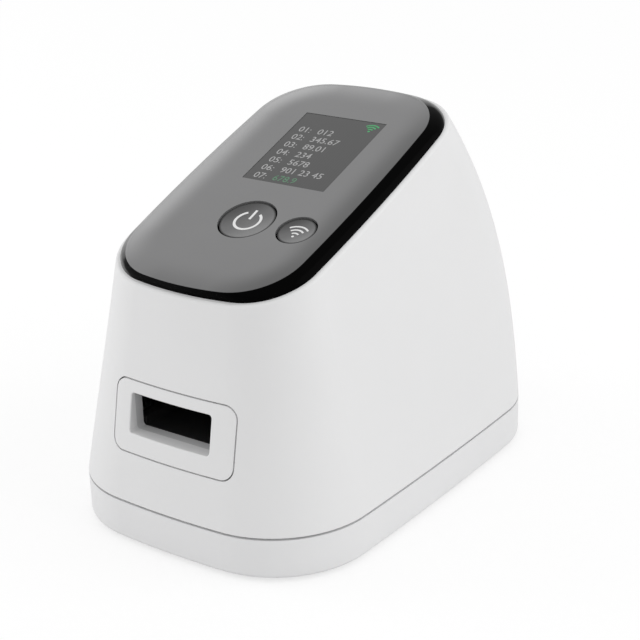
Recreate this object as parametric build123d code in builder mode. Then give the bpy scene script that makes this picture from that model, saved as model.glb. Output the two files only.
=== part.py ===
from build123d import *
from math import acos, atan2, cos, hypot, pi, radians, sin, sqrt, tan
import os

os.makedirs("parts", exist_ok=True)

# A desktop blood analyzer for animal samples: a white casing with a sloping glossy panel, a card
# slot in front, and a motor-driven card carriage that passes under an optical reading head.
# Lengths are in millimetres and angles in degrees. The origin is the middle of the footprint on
# the table: +X to the right, +Y to the back, +Z up.

# Casing
casing_width = 106.4
casing_depth = 157.8
seam_height = 15.4
seam_gap = 0.8
seam_corner = 33.7
side_bulge = 1.87
end_bulge = 4.5
casing_wall = 2.4
side_taper = 1.02
rear_taper = 2.59
casing_sections = 5
base_floor = 2.4
base_edge_round = 1.4
tongue_thickness = 1.4
tongue_height = 2.0
tongue_clearance = 0.45
foot_height = 1.2
foot_radius = 6.0
foot_recess = 0.8
foot_inset_x = 18.5
foot_inset_y = 26.0
casing_screw_inset_x = 9.5
casing_screw_inset_y = 36.0
casing_boss_radius = 3.5
casing_boss_height = 20.0

# Panel on top of the casing, measured from the front edge of its rim
panel_tilt = 20.0
panel_setback = 14.1
panel_front_z = 85.0
panel_width = 74.9
panel_length = 115.5
panel_corner = 20.6
rim_lip = 1.4
rim_round = 1.2
roof_wall = 2.6
bezel_height = 3.5
bezel_flare_side = 3.9
bezel_flare_rear = 2.9
bezel_flare_power = 1.8
bezel_sections = 4
lens_thickness = 1.2
lens_margin = 0.4
lens_fit = 0.1
adhesive_thickness = 0.2
adhesive_width = 3.0
roof_opening_width = 61.0
roof_opening_front = 20.0
roof_opening_rear = 104.0
roof_opening_corner = 6.0

# Display
screen_x = 2.0
screen_v = 73.9
screen_width = 32.5
screen_length = 39.3
screen_corner = 0.3
screen_fit = 0.05
screen_recess = 0.15
display_width = 36.0
display_length = 50.0
display_thickness = 2.2
display_shift = 2.0
display_edge = 0.4
display_gap = 0.3
holder_wall = 3.0

# Buttons on the panel
power_x = 1.6
power_v = 34.8
power_radius = 9.3
wireless_x = 21.2
wireless_v = 34.3
wireless_radius = 6.3
button_ring_gap = 0.5
button_recess = 0.35
button_dish = 0.35
button_travel = 0.6
flange_width = 1.0
flange_thickness = 1.0
flange_gap = 0.3
switch_width = 5.2
switch_height = 1.0
plunger_radius = 1.2

# Board behind the panel
panel_board_drop = 3.2
panel_board_width = 57.0
panel_board_front = 22.0
panel_board_rear = 102.0
board_thickness = 1.6
panel_post_x = 26.5
panel_post_front = 24.0
panel_post_rear = 100.0
panel_post_radius = 2.5
panel_screw_grip = 2.4

# Card slot in the front wall
slot_x = -1.2
slot_z = 44.2
slot_width = 32.4
slot_height = 12.9
slot_depth = 6.5
slot_corner = 1.2
slot_edge_round = 0.4
guide_start = 3.3
guide_wall = 1.8
guide_fit = 0.05
frame_z = 43.1
frame_width = 47.8
frame_height = 23.0
frame_corner = 4.2
frame_gap = 0.5
frame_flange = 2.2
flange_seat_gap = 0.15

# Card carriage, with the test card lying on its floor
carriage_travel = 30.0
carriage_rear_gap = 10.0
carriage_front_gap = 0.7
carriage_width = 51.0
carriage_floor = 2.4
carriage_drop = 0.3
channel_width = 31.0
channel_wall = 2.8
channel_wall_height = 3.0
channel_end_wall = 3.0
rod_radius = 1.5
rod_fit = 0.05
rod_side_gap = 11.5
rod_drop = 4.1
bearing_width = 8.0
bearing_length = 10.0
bearing_below_rod = 3.0
bearing_inset = 12.0
flag_thickness = 1.0
flag_length = 8.0
flag_height = 8.0
flag_before_pinion = 13.0
home_sensor_width = 7.0
home_sensor_length = 10.0
home_sensor_slot = 3.0
home_sensor_wall = 1.0
home_sensor_gap = 1.0
sensor_seat_margin = 0.5
sensor_seat_gap = 1.5

# Rack, pinion and motor
gear_module = 0.7
pinion_teeth = 18
pressure_angle = 20.0
dedendum_factor = 1.25
gear_backlash = 0.12
mesh_clearance = 0.05
tooth_overlap = 0.5
rack_body = 2.0
rack_width = 5.0
rack_side_gap = 0.5
rack_margin = 4.0
pinion_offset = 1.0
pinion_width = 4.4
hub_radius = 3.2
hub_length = 1.2
motor_radius = 10.0
motor_side_gap = 4.6
motor_boss_radius = 3.5
motor_boss_length = 1.2
shaft_radius = 1.0
shaft_fit = 0.03
bracket_thickness = 1.5
bracket_gap = 1.5
bracket_width = 26.0
bracket_foot = 12.0
bracket_screw_inset = 2.4
motor_ear = 3.2
motor_ear_thickness = 1.0
motor_screw_spacing = 26.0

# Mechanism frame in the casing
chassis_thickness = 2.5
chassis_side = 0.5
chassis_behind_front = 2.0
chassis_board_gap = 4.0
chassis_wall = 3.5
chassis_wall_margin = 4.5
chassis_drop = 0.5
chassis_screw_x = 28.0
chassis_screw_inset = 6.0
post_radius = 3.5

# Optical reading head over the carriage
bridge_clearance = 5.5
bridge_thickness = 2.6
bridge_before_pinion = 24.0
bridge_behind_pinion = 21.5
bridge_leg_gap = 1.0
bridge_corner = 3.4
read_before_pinion = 4.0
optics_width = 24.0
optics_length = 32.0
optics_height = 20.0
optics_bore = 4.2
detector_bore = 2.5
optics_screw_inset = 3.8
optics_screw_grip = 6.0
sensor_screw_grip = 5.0
optics_fit = 0.05
lens_disc_thickness = 2.0
filter_thickness = 1.0
led_radius = 2.5
led_length = 8.0
led_angle = 45.0
led_distance = 21.0
sensor_board_inset = 1.0
diode_radius = 2.4
diode_height = 1.8

# Main board, ports and battery
standoff_height = 12.3
standoff_size = 5.0
main_board_width = 64.0
main_board_length = 33.0
main_board_back_gap = 6.0
standoff_side_front = 5.0
standoff_side_rear = 7.0
standoff_inset = 4.5
standoff_screw_grip = 4.0
standoff_hole_depth = 6.0
port_gap = 0.9
port_hole_margin = 0.8
usb_x = -10.0
usb_width = 12.0
usb_height = 10.9
usb_depth = 16.0
usb_mouth_width = 8.5
usb_mouth_height = 7.8
usb_mouth_depth = 9.0
usb_tongue_width = 5.6
usb_tongue_height = 3.0
jack_x = 12.0
jack_width = 9.0
jack_height = 11.0
jack_depth = 14.0
jack_bore = 3.2
jack_bore_depth = 10.0
jack_pin_radius = 1.0
battery_width = 40.0
battery_length = 60.0
battery_thickness = 7.4
battery_pad_thickness = 0.5
battery_rail = 1.6
battery_rail_height = 5.0
battery_clearance = 0.3
processor_side_gap = 12.0
processor_size = 10.0
processor_height = 1.2
processor_ahead = 17.0
memory_x = 4.0
memory_width = 8.0
memory_length = 6.0
memory_height = 1.0
radio_side_gap = 8.0
radio_ahead = 17.0
radio_width = 14.0
radio_length = 16.0
radio_antenna = 4.0
radio_shield_inset = 0.5
buzzer_x = 2.0
buzzer_ahead = 5.0
buzzer_radius = 3.0
buzzer_height = 4.0
flex_thickness = 0.3
flex_bend = 4.0
flex_socket_depth = 3.0
flex_socket_height = 1.2
flex_socket_side = 1.0
display_flex_x = 8.0
display_flex_width = 12.0
display_fall_ahead = 6.0
sensor_flex_x = -6.0
sensor_flex_width = 8.0
sensor_fall_ahead = 8.0
panel_socket_v = 85.0
board_socket_ahead = 25.0
cable_bend_z = 26.0

# Screws: shank radius, head radius and head height of the two sizes used
big_shank = 1.45
big_head = 2.7
big_head_height = 1.9
small_shank = 0.95
small_head = 1.9
small_head_height = 1.2
screw_clearance = 0.05
through_clearance = 0.25

# Cross recess of the screws, as parts of the head's radius and height
recess_length = 1.1
recess_width = 0.3
recess_depth = 0.55

# Sizes that follow from the values above
tilt = radians(panel_tilt)
foot_x = casing_width / 2 - foot_inset_x
foot_y = casing_depth / 2 - foot_inset_y
casing_screw_x = casing_width / 2 - casing_screw_inset_x
casing_screw_y = casing_depth / 2 - casing_screw_inset_y
base_top = seam_height - seam_gap
floor_top = foot_height + base_floor
panel_front_y = panel_setback - casing_depth / 2
rim_front_y = panel_front_y - rim_lip * cos(tilt)
rim_front_z = panel_front_z - rim_lip * sin(tilt)
rim_rear_y = panel_front_y + (panel_length + rim_lip) * cos(tilt)
rim_rear_z = panel_front_z + (panel_length + rim_lip) * sin(tilt)
front_lean = (rim_front_y + casing_depth / 2) / (rim_front_z - seam_height)
slot_face_y = -casing_depth / 2 + (slot_z - seam_height) * front_lean
slot_back_y = slot_face_y + slot_depth
carriage_top = slot_z - slot_height / 2 - carriage_drop
carriage_bottom = carriage_top - carriage_floor
carriage_front_y = slot_back_y + carriage_front_gap
rod_z = carriage_bottom - rod_drop
rod_spacing = carriage_width - 2 * rod_side_gap
socket_face_y = casing_depth / 2 - casing_wall - port_gap
main_board_rear = casing_depth / 2 - casing_wall - main_board_back_gap
main_board_front = main_board_rear - main_board_length
processor_x = processor_side_gap - main_board_width / 2
processor_y = main_board_rear - processor_ahead
radio_x = main_board_width / 2 - radio_side_gap
radio_y = main_board_rear - radio_ahead
buzzer_y = main_board_rear - buzzer_ahead
standoff_x_front = main_board_width / 2 - standoff_side_front
standoff_x_rear = main_board_width / 2 - standoff_side_rear
board_socket_y = main_board_rear - board_socket_ahead
display_fall_y = board_socket_y - display_fall_ahead
sensor_fall_y = board_socket_y - sensor_fall_ahead
chassis_front = carriage_front_y + chassis_behind_front
chassis_rear = main_board_front - chassis_board_gap
chassis_length = chassis_rear - chassis_front
chassis_screw_front = chassis_front + chassis_screw_inset
chassis_screw_rear = chassis_rear - chassis_screw_inset
battery_y = (chassis_front + chassis_rear) / 2
carriage_rear_y = chassis_rear - carriage_rear_gap - carriage_travel
carriage_length = carriage_rear_y - carriage_front_y
pinion_y = carriage_front_y + (carriage_length + carriage_travel) / 2 + pinion_offset
flag_y = pinion_y - flag_before_pinion
rack_x = carriage_width / 2 - rack_side_gap - rack_width / 2
bracket_x = carriage_width / 2 + bracket_gap
motor_face_x = bracket_x + bracket_thickness
motor_length = casing_width / 2 - casing_wall - motor_side_gap - motor_face_x
bridge_leg_x = carriage_width / 2 + bridge_leg_gap + post_radius
bridge_front = pinion_y - bridge_before_pinion
bridge_rear = pinion_y + bridge_behind_pinion
read_y = pinion_y - read_before_pinion
optics_front = pinion_y - optics_length / 2
optics_rear = pinion_y + optics_length / 2
chassis_width = 2 * (bridge_leg_x + post_radius + chassis_side)
pitch_radius = gear_module * pinion_teeth / 2
tip_radius = pitch_radius + gear_module
root_radius = pitch_radius - dedendum_factor * gear_module
tooth_pitch = pi * gear_module
rack_root_z = carriage_bottom - rack_body
rack_pitch_z = rack_root_z - dedendum_factor * gear_module
pinion_z = rack_pitch_z - pitch_radius - mesh_clearance
chassis_top = pinion_z - motor_radius - chassis_drop
chassis_bottom = chassis_top - chassis_thickness
bridge_bottom = carriage_top + channel_wall_height + bridge_clearance
bridge_top = bridge_bottom + bridge_thickness
optics_top = bridge_top + optics_height
main_board_bottom = floor_top + standoff_height
main_board_top = main_board_bottom + board_thickness
lens_bottom = bezel_height - lens_thickness
pocket_floor = lens_bottom - adhesive_thickness
display_top = pocket_floor
display_bottom = display_top - display_thickness
panel_board_bottom = -panel_board_drop - board_thickness
low = (Align.CENTER, Align.CENTER, Align.MIN)
high = (Align.CENTER, Align.CENTER, Align.MAX)


def between(start, end, part, power=1.0):
    """A value that runs from start to end as part runs from 0 to 1."""
    return start + (end - start) * part**power


def panel_plane(height=0.0, x=0.0, v=0.0):
    """A plane parallel to the panel: x across, v up the slope from the rim's front edge."""
    y = panel_front_y + v * cos(tilt) - height * sin(tilt)
    z = panel_front_z + v * sin(tilt) + height * cos(tilt)
    return Plane(origin=(x, y, z), x_dir=(1, 0, 0), z_dir=(0, -sin(tilt), cos(tilt)))


def bulged_outline(plane, half_width, half_length, corner):
    """A rounded rectangle whose four sides swell slightly outwards."""
    x = half_width - side_bulge
    y = half_length - end_bulge
    with BuildSketch(plane) as outline:
        with BuildLine():
            ThreePointArc((-x, -y), (0, -half_length), (x, -y))
            ThreePointArc((x, -y), (half_width, 0), (x, y))
            ThreePointArc((x, y), (0, half_length), (-x, y))
            ThreePointArc((-x, y), (-half_width, 0), (-x, -y))
        make_face()
        fillet(outline.vertices(), corner)
    return outline.sketch


def casing_section(part, inset=0.0):
    """The casing's outline, level at the seam (part 0) and sloping at the rim (part 1)."""
    front_y = between(-casing_depth / 2, rim_front_y, part)
    front_z = between(seam_height, rim_front_z, part)
    rear_y = between(casing_depth / 2, rim_rear_y, part, rear_taper)
    rear_z = between(seam_height, rim_rear_z, part)
    slope = atan2(rear_z - front_z, rear_y - front_y)
    middle = (0, (front_y + rear_y) / 2, (front_z + rear_z) / 2)
    plane = Plane(origin=middle, x_dir=(1, 0, 0), z_dir=(0, -sin(slope), cos(slope)))
    half_width = between(casing_width / 2, panel_width / 2 + rim_lip, part, side_taper) - inset
    half_length = hypot(rear_y - front_y, rear_z - front_z) / 2 - inset
    corner = between(seam_corner, panel_corner + rim_lip, part) - inset
    return bulged_outline(plane, half_width, half_length, corner)


def casing_body(inset=0.0):
    """The closed form of the upper casing, drawn in by the inset."""
    with BuildPart() as body:
        loft([casing_section(number / (casing_sections - 1), inset)
              for number in range(casing_sections)])
    return body.part


def bezel_section(height, margin=0.0):
    """The panel bezel's outline at a height over the rim, drawn in by the margin."""
    flare = (height / bezel_height) ** bezel_flare_power
    length = panel_length - bezel_flare_rear * flare - 2 * margin
    half_width = panel_width / 2 - bezel_flare_side * flare - margin
    corner = panel_corner - margin
    plane = panel_plane(height, v=length / 2 + margin)
    return bulged_outline(plane, half_width, length / 2, corner)


def screws(planes, shank, head, head_height, length):
    """Pan-head screws with a cross recess, heads on the planes and shanks behind them."""
    with BuildPart() as group:
        with Locations(*planes):
            Cylinder(head, head_height, align=low)
            Cylinder(shank, length, align=high)
        with Locations(*[plane.offset(head_height) for plane in planes]):
            Box(head * recess_length, head * recess_width, 2 * head_height * recess_depth,
                mode=Mode.SUBTRACT)
            Box(head * recess_width, head * recess_length, 2 * head_height * recess_depth,
                mode=Mode.SUBTRACT)
    return group


# Casing forms that several pieces are cut from
outer_form = casing_body()
inner_form = casing_body(casing_wall)
seat_form = casing_body(casing_wall + flange_seat_gap)
casing_screw_points = [(x, y) for x in (-casing_screw_x, casing_screw_x)
                       for y in (-casing_screw_y, casing_screw_y)]
chassis_screw_points = [(x, y) for x in (-chassis_screw_x, chassis_screw_x)
                        for y in (chassis_screw_front, chassis_screw_rear)]
foot_points = [(x, y) for x in (-foot_x, foot_x) for y in (-foot_y, foot_y)]
standoff_points = [(side * x, y) for side in (-1, 1) for x, y in (
    (standoff_x_front, main_board_front + standoff_inset),
    (standoff_x_rear, main_board_rear - standoff_inset))]

# Base tray with its locating tongue, posts for the mechanism and rails for the battery
with BuildPart() as base_tray:
    extrude(bulged_outline(Plane.XY.offset(foot_height), casing_width / 2, casing_depth / 2,
                           seam_corner), amount=base_top - foot_height)
    fillet(base_tray.faces().sort_by(Axis.Z)[0].edges(), base_edge_round)
    tongue_inset = casing_wall + tongue_clearance
    extrude(bulged_outline(Plane.XY.offset(floor_top), casing_width / 2 - tongue_inset,
                           casing_depth / 2 - tongue_inset, seam_corner - tongue_inset),
            amount=seam_height + tongue_height - floor_top)
    hollow_inset = tongue_inset + tongue_thickness
    extrude(bulged_outline(Plane.XY.offset(floor_top), casing_width / 2 - hollow_inset,
                           casing_depth / 2 - hollow_inset, seam_corner - hollow_inset),
            amount=casing_depth, mode=Mode.SUBTRACT)
    with Locations(*[(x, y, seam_height) for x, y in casing_screw_points]):
        Box(casing_width - 2 * casing_screw_x + tongue_clearance,
            2 * casing_boss_radius + 2 * tongue_clearance, 2 * tongue_height, align=low,
            mode=Mode.SUBTRACT)
    with Locations(*[(x, y, floor_top) for x, y in casing_screw_points]):
        Cylinder(casing_boss_radius, seam_height - floor_top, align=low)
    with Locations(*[(x, y, floor_top) for x, y in chassis_screw_points]):
        Cylinder(post_radius, chassis_bottom - floor_top, align=low)
        Cylinder(small_shank + screw_clearance, casing_depth, align=low, mode=Mode.SUBTRACT)
    rail_x = battery_width / 2 + battery_clearance + battery_rail / 2
    with Locations((-rail_x, battery_y, floor_top), (rail_x, battery_y, floor_top)):
        Box(battery_rail, battery_length, battery_rail_height, align=low)
    with Locations(*[(x, y, foot_height) for x, y in casing_screw_points]):
        Cylinder(big_shank + through_clearance, seam_height, align=low, mode=Mode.SUBTRACT)
        Cylinder(big_head + through_clearance, big_head_height + through_clearance,
                 align=low, mode=Mode.SUBTRACT)
    with Locations(*[(x, y, foot_height) for x, y in foot_points]):
        Cylinder(foot_radius, foot_recess, align=low, mode=Mode.SUBTRACT)
base_tray.part.label = "base_tray"
export_step(base_tray.part, "parts/base_tray.step")

# Rubber feet, set into round recesses of the base
with BuildPart() as rubber_feet:
    with Locations(*foot_points):
        Cylinder(foot_radius, foot_height + foot_recess, align=low)
    fillet(rubber_feet.edges().group_by(Axis.Z)[0], foot_height / 4)
rubber_feet.part.label = "rubber_feet"
export_step(rubber_feet.part, "parts/rubber_feet.step")

# Bosses inside the upper shell that take the casing screws
with BuildPart() as shell_bosses:
    boss_web = casing_width / 2 - casing_screw_x
    with Locations(*[(x, y, seam_height) for x, y in casing_screw_points]):
        Cylinder(casing_boss_radius, casing_boss_height, align=low)
    with Locations(*[(x + boss_web / 2 * (1 if x > 0 else -1), y, seam_height)
                     for x, y in casing_screw_points]):
        Box(boss_web, casing_boss_radius, casing_boss_height, align=low)
    add(outer_form, mode=Mode.INTERSECT)

# Upper shell with its rim, the opening under the panel, the front window and the port holes
with BuildPart() as shell_form:
    add(outer_form)
    fillet(shell_form.faces().sort_by(Axis.Z)[-1].edges(), rim_round)
    add(inner_form, mode=Mode.SUBTRACT)
with BuildPart() as roof:
    add(inner_form)
    split(bisect_by=panel_plane(-roof_wall), keep=Keep.TOP)
with BuildPart() as upper_shell:
    add(shell_form.part)
    add(roof.part)
    add(shell_bosses.part)
    opening_length = roof_opening_rear - roof_opening_front
    with BuildSketch(panel_plane(v=(roof_opening_rear + roof_opening_front) / 2)):
        RectangleRounded(roof_opening_width, opening_length, roof_opening_corner)
    extrude(amount=-2 * roof_wall, mode=Mode.SUBTRACT)
    with BuildSketch(Plane.XZ.offset(casing_depth / 2)):
        with Locations((0, frame_z)):
            RectangleRounded(frame_width + 2 * frame_gap, frame_height + 2 * frame_gap,
                             frame_corner + frame_gap)
    extrude(amount=-casing_depth / 4, mode=Mode.SUBTRACT)
    port_z = main_board_top
    with Locations((usb_x, casing_depth / 2, port_z + usb_height / 2)):
        Box(usb_width + 2 * port_hole_margin, 4 * casing_wall,
            usb_height + 2 * port_hole_margin, mode=Mode.SUBTRACT)
    with Locations((jack_x, casing_depth / 2, port_z + jack_height / 2)):
        Cylinder(jack_height / 2 + port_hole_margin, 4 * casing_wall,
                 rotation=(90, 0, 0), mode=Mode.SUBTRACT)
    with Locations(*[(x, y, seam_height) for x, y in casing_screw_points]):
        Cylinder(big_shank + screw_clearance, casing_boss_height - casing_wall,
                 align=low, mode=Mode.SUBTRACT)
upper_shell.part.label = "upper_shell"
export_step(upper_shell.part, "parts/upper_shell.step")

# Screws that hold the shell on the base from below
casing_screws = screws([Plane(origin=(x, y, foot_height + big_head_height + through_clearance),
                              z_dir=(0, 0, -1)) for x, y in casing_screw_points],
                       big_shank, big_head, big_head_height, 2 * seam_height - base_floor)
casing_screws.part.label = "casing_screws"
export_step(casing_screws.part, "parts/casing_screws.step")

# Frame of the card slot, flush in the front wall, with a flange behind the wall
with BuildPart() as slot_plug:
    add(outer_form)
    with BuildSketch(Plane.XZ.offset(-slot_back_y)):
        with Locations((0, frame_z)):
            RectangleRounded(frame_width, frame_height, frame_corner)
    extrude(amount=casing_depth, mode=Mode.INTERSECT)
with BuildPart() as slot_flange:
    add(seat_form)
    with BuildSketch(Plane.XZ.offset(-slot_back_y)):
        with Locations((0, frame_z)):
            RectangleRounded(frame_width + 2 * frame_flange, frame_height + 2 * frame_flange,
                             frame_corner + frame_flange)
    extrude(amount=casing_depth, mode=Mode.INTERSECT)
with BuildPart() as slot_frame:
    add(slot_plug.part)
    add(slot_flange.part)
    with BuildSketch(Plane.XZ.offset(-slot_back_y)):
        with Locations((slot_x, slot_z)):
            RectangleRounded(slot_width, slot_height, slot_corner)
    extrude(amount=casing_depth, mode=Mode.SUBTRACT)
    with BuildSketch(Plane.XZ.offset(-slot_back_y)):
        with Locations((slot_x, slot_z)):
            RectangleRounded(slot_width + 2 * guide_wall, slot_height + 2 * guide_wall,
                             slot_corner + guide_wall)
    extrude(amount=slot_depth - guide_start, mode=Mode.SUBTRACT)
    mouth = slot_frame.edges().filter_by(Axis.Y, reverse=True).filter_by(
        lambda edge: edge.center().Y < slot_face_y + guide_start / 2
        and abs(edge.center().X - slot_x) < slot_width / 2 + guide_fit
        and abs(edge.center().Z - slot_z) < slot_height / 2 + guide_fit)
    fillet(mouth, slot_edge_round)
slot_frame.part.label = "slot_frame"
export_step(slot_frame.part, "parts/slot_frame.step")

# Grey throat behind the frame, which leads the card to the carriage and keeps light out
with BuildPart() as slot_guide:
    with BuildSketch(Plane.XZ.offset(-slot_back_y)):
        with Locations((slot_x, slot_z)):
            RectangleRounded(slot_width + 2 * guide_wall - 2 * guide_fit,
                             slot_height + 2 * guide_wall - 2 * guide_fit,
                             slot_corner + guide_wall)
            RectangleRounded(slot_width, slot_height, slot_corner, mode=Mode.SUBTRACT)
    extrude(amount=slot_depth - guide_start)
slot_guide.part.label = "slot_guide"
export_step(slot_guide.part, "parts/slot_guide.step")

# Glossy bezel of the panel, flared at its sides and rear
with BuildPart() as panel_bezel:
    loft([bezel_section(bezel_height * number / (bezel_sections - 1))
          for number in range(bezel_sections)])
    extrude(bezel_section(bezel_height, lens_margin), amount=-(bezel_height - pocket_floor),
            mode=Mode.SUBTRACT)
    with BuildSketch(panel_plane(x=screen_x, v=screen_v - display_shift)):
        Rectangle(display_width + 2 * display_gap, display_length + 2 * display_gap)
    extrude(amount=bezel_height, mode=Mode.SUBTRACT)
    with Locations(panel_plane(x=power_x, v=power_v)):
        Cylinder(power_radius + button_ring_gap, 2 * bezel_height, mode=Mode.SUBTRACT)
    with Locations(panel_plane(x=wireless_x, v=wireless_v)):
        Cylinder(wireless_radius + button_ring_gap, 2 * bezel_height, mode=Mode.SUBTRACT)
    post_planes = [panel_plane(0, x, v) for x in (-panel_post_x, panel_post_x)
                   for v in (panel_post_front, panel_post_rear)]
    with Locations(*post_planes):
        Cylinder(panel_post_radius, panel_board_drop, align=high)
        Cylinder(small_shank + screw_clearance, panel_board_drop, align=high,
                 mode=Mode.SUBTRACT)
panel_bezel.part.label = "panel_bezel"
export_step(panel_bezel.part, "parts/panel_bezel.step")

# Adhesive frame under the lens
with BuildPart() as lens_adhesive:
    pocket_depth = bezel_height - pocket_floor
    extrude(bezel_section(bezel_height, lens_margin + lens_fit), amount=-pocket_depth)
    extrude(bezel_section(bezel_height, lens_margin + adhesive_width), amount=-pocket_depth,
            mode=Mode.SUBTRACT)
    extrude(bezel_section(bezel_height), amount=-lens_thickness, mode=Mode.SUBTRACT)
lens_adhesive.part.label = "lens_adhesive"
export_step(lens_adhesive.part, "parts/lens_adhesive.step")

# Smoked lens over the whole panel, cut out for the screen and the buttons
with BuildPart() as panel_lens:
    extrude(bezel_section(bezel_height, lens_margin + lens_fit), amount=-lens_thickness)
    with BuildSketch(panel_plane(x=screen_x, v=screen_v)):
        RectangleRounded(screen_width + 2 * screen_fit, screen_length + 2 * screen_fit,
                         screen_corner + screen_fit)
    extrude(amount=2 * bezel_height, mode=Mode.SUBTRACT)
    with Locations(panel_plane(x=power_x, v=power_v)):
        Cylinder(power_radius + button_ring_gap, 3 * bezel_height, mode=Mode.SUBTRACT)
    with Locations(panel_plane(x=wireless_x, v=wireless_v)):
        Cylinder(wireless_radius + button_ring_gap, 3 * bezel_height, mode=Mode.SUBTRACT)
panel_lens.part.label = "panel_lens"
export_step(panel_lens.part, "parts/panel_lens.step")

# Screen glass, the display behind it and the frame that carries the display on the board
with BuildPart() as screen_glass:
    with BuildSketch(panel_plane(display_top, screen_x, screen_v)):
        RectangleRounded(screen_width, screen_length, screen_corner)
    extrude(amount=bezel_height - screen_recess - display_top)
screen_glass.part.label = "screen_glass"
export_step(screen_glass.part, "parts/screen_glass.step")

with BuildPart() as display_module:
    with BuildSketch(panel_plane(display_bottom, screen_x, screen_v - display_shift)):
        Rectangle(display_width, display_length)
    extrude(amount=display_thickness)
    chamfer(display_module.edges().filter_by(Plane.XZ.rotated((panel_tilt, 0, 0))), display_edge)
display_module.part.label = "display_module"
export_step(display_module.part, "parts/display_module.step")

with BuildPart() as display_holder:
    with BuildSketch(panel_plane(-panel_board_drop, screen_x, screen_v - display_shift)):
        Rectangle(display_width - holder_wall, display_length - holder_wall)
        Rectangle(display_width - 3 * holder_wall, display_length - 3 * holder_wall,
                  mode=Mode.SUBTRACT)
    extrude(amount=display_bottom + panel_board_drop)
display_holder.part.label = "display_holder"
export_step(display_holder.part, "parts/display_holder.step")


def button(x, v, radius):
    """A round key cap, dished on top, held in by a flange under the bezel."""
    top = bezel_height - button_recess
    with BuildPart() as cap:
        with Locations(panel_plane(-flange_gap, x, v)):
            Cylinder(radius + button_ring_gap + flange_width, flange_thickness, align=high)
            Cylinder(radius, top + flange_gap, align=low)
        fillet(cap.faces().sort_by(Axis((0, 0, 0), (0, -sin(tilt), cos(tilt))))[-1].edges(),
               button_dish)
        dish_radius = (radius * radius + button_dish * button_dish) / (2 * button_dish)
        with Locations(panel_plane(top + dish_radius - button_dish, x, v)):
            Sphere(dish_radius, mode=Mode.SUBTRACT)
    return cap


power_button = button(power_x, power_v, power_radius)
power_button.part.label = "power_button"
export_step(power_button.part, "parts/power_button.step")

wireless_button = button(wireless_x, wireless_v, wireless_radius)
wireless_button.part.label = "wireless_button"
export_step(wireless_button.part, "parts/wireless_button.step")

# Board behind the panel with its two switches
with BuildPart() as panel_board:
    board_middle = (panel_board_front + panel_board_rear) / 2
    with BuildSketch(panel_plane(-panel_board_drop, v=board_middle)):
        RectangleRounded(panel_board_width, panel_board_rear - panel_board_front, board_thickness)
    extrude(amount=-board_thickness)
    with Locations(*[plane.offset(-panel_board_drop) for plane in post_planes]):
        Cylinder(small_shank + through_clearance, 4 * board_thickness, mode=Mode.SUBTRACT)
panel_board.part.label = "panel_board"
export_step(panel_board.part, "parts/panel_board.step")

with BuildPart() as key_switches:
    plunger_top = flange_gap + flange_thickness + button_travel + screw_clearance
    for x, v in ((power_x, power_v), (wireless_x, wireless_v)):
        with Locations(panel_plane(-panel_board_drop, x, v)):
            Box(switch_width, switch_width, switch_height, align=low)
            Cylinder(plunger_radius, panel_board_drop - plunger_top, align=low)
key_switches.part.label = "key_switches"
export_step(key_switches.part, "parts/key_switches.step")

panel_screws = screws([Plane(plane.offset(panel_board_bottom).origin, plane.x_dir, -plane.z_dir)
                       for plane in post_planes],
                      small_shank, small_head, small_head_height,
                      board_thickness + panel_screw_grip)
panel_screws.part.label = "panel_screws"
export_step(panel_screws.part, "parts/panel_screws.step")

# Mechanism frame: a plate on the base posts, with an upright wall at each end for the rods
with BuildPart() as chassis:
    wall_width = rod_spacing + 2 * chassis_wall_margin
    wall_height = carriage_bottom - chassis_drop - chassis_top
    with BuildSketch(Plane.XY.offset(chassis_bottom)):
        with Locations((0, (chassis_front + chassis_rear) / 2)):
            RectangleRounded(chassis_width, chassis_length, post_radius)
    extrude(amount=chassis_thickness)
    with Locations((0, chassis_front + chassis_wall / 2, chassis_top),
                   (0, chassis_rear - chassis_wall / 2, chassis_top)):
        Box(wall_width, chassis_wall, wall_height, align=low)
    sensor_seat_top = carriage_bottom - flag_height - sensor_seat_gap
    sensor_x = -carriage_width / 2 + 2 * flag_thickness
    with Locations((sensor_x, flag_y, chassis_top)):
        Box(home_sensor_width + 2 * sensor_seat_margin, home_sensor_length + 2 * sensor_seat_margin,
            sensor_seat_top - chassis_top, align=low)
    with Locations((-rod_spacing / 2, chassis_front, rod_z),
                   (rod_spacing / 2, chassis_front, rod_z)):
        Cylinder(rod_radius + shaft_fit, 3 * chassis_length, rotation=(90, 0, 0),
                 mode=Mode.SUBTRACT)
    with Locations(*[(x, y, chassis_bottom) for x, y in chassis_screw_points]):
        Cylinder(small_shank + through_clearance, 2 * chassis_thickness, mode=Mode.SUBTRACT)
    bridge_points = [(x, y) for x in (-bridge_leg_x, bridge_leg_x)
                     for y in (bridge_front, bridge_rear)]
    with Locations(*[(x, y, chassis_bottom) for x, y in bridge_points]):
        Cylinder(small_shank + through_clearance, 2 * chassis_thickness, mode=Mode.SUBTRACT)
    foot_y_offset = bracket_width / 2 - bracket_screw_inset
    bracket_points = [(bracket_x - bracket_foot / 2, pinion_y + side * foot_y_offset)
                      for side in (-1, 1)]
    with Locations(*[(x, y, chassis_bottom) for x, y in bracket_points]):
        Cylinder(small_shank + screw_clearance, 2 * chassis_thickness, mode=Mode.SUBTRACT)
chassis.part.label = "chassis"
export_step(chassis.part, "parts/chassis.step")

chassis_screws = screws([Plane.XY.offset(chassis_top).shift_origin((x, y, chassis_top))
                         for x, y in chassis_screw_points],
                        small_shank, small_head, small_head_height, 3 * chassis_thickness)
chassis_screws.part.label = "chassis_screws"
export_step(chassis_screws.part, "parts/chassis_screws.step")

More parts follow.
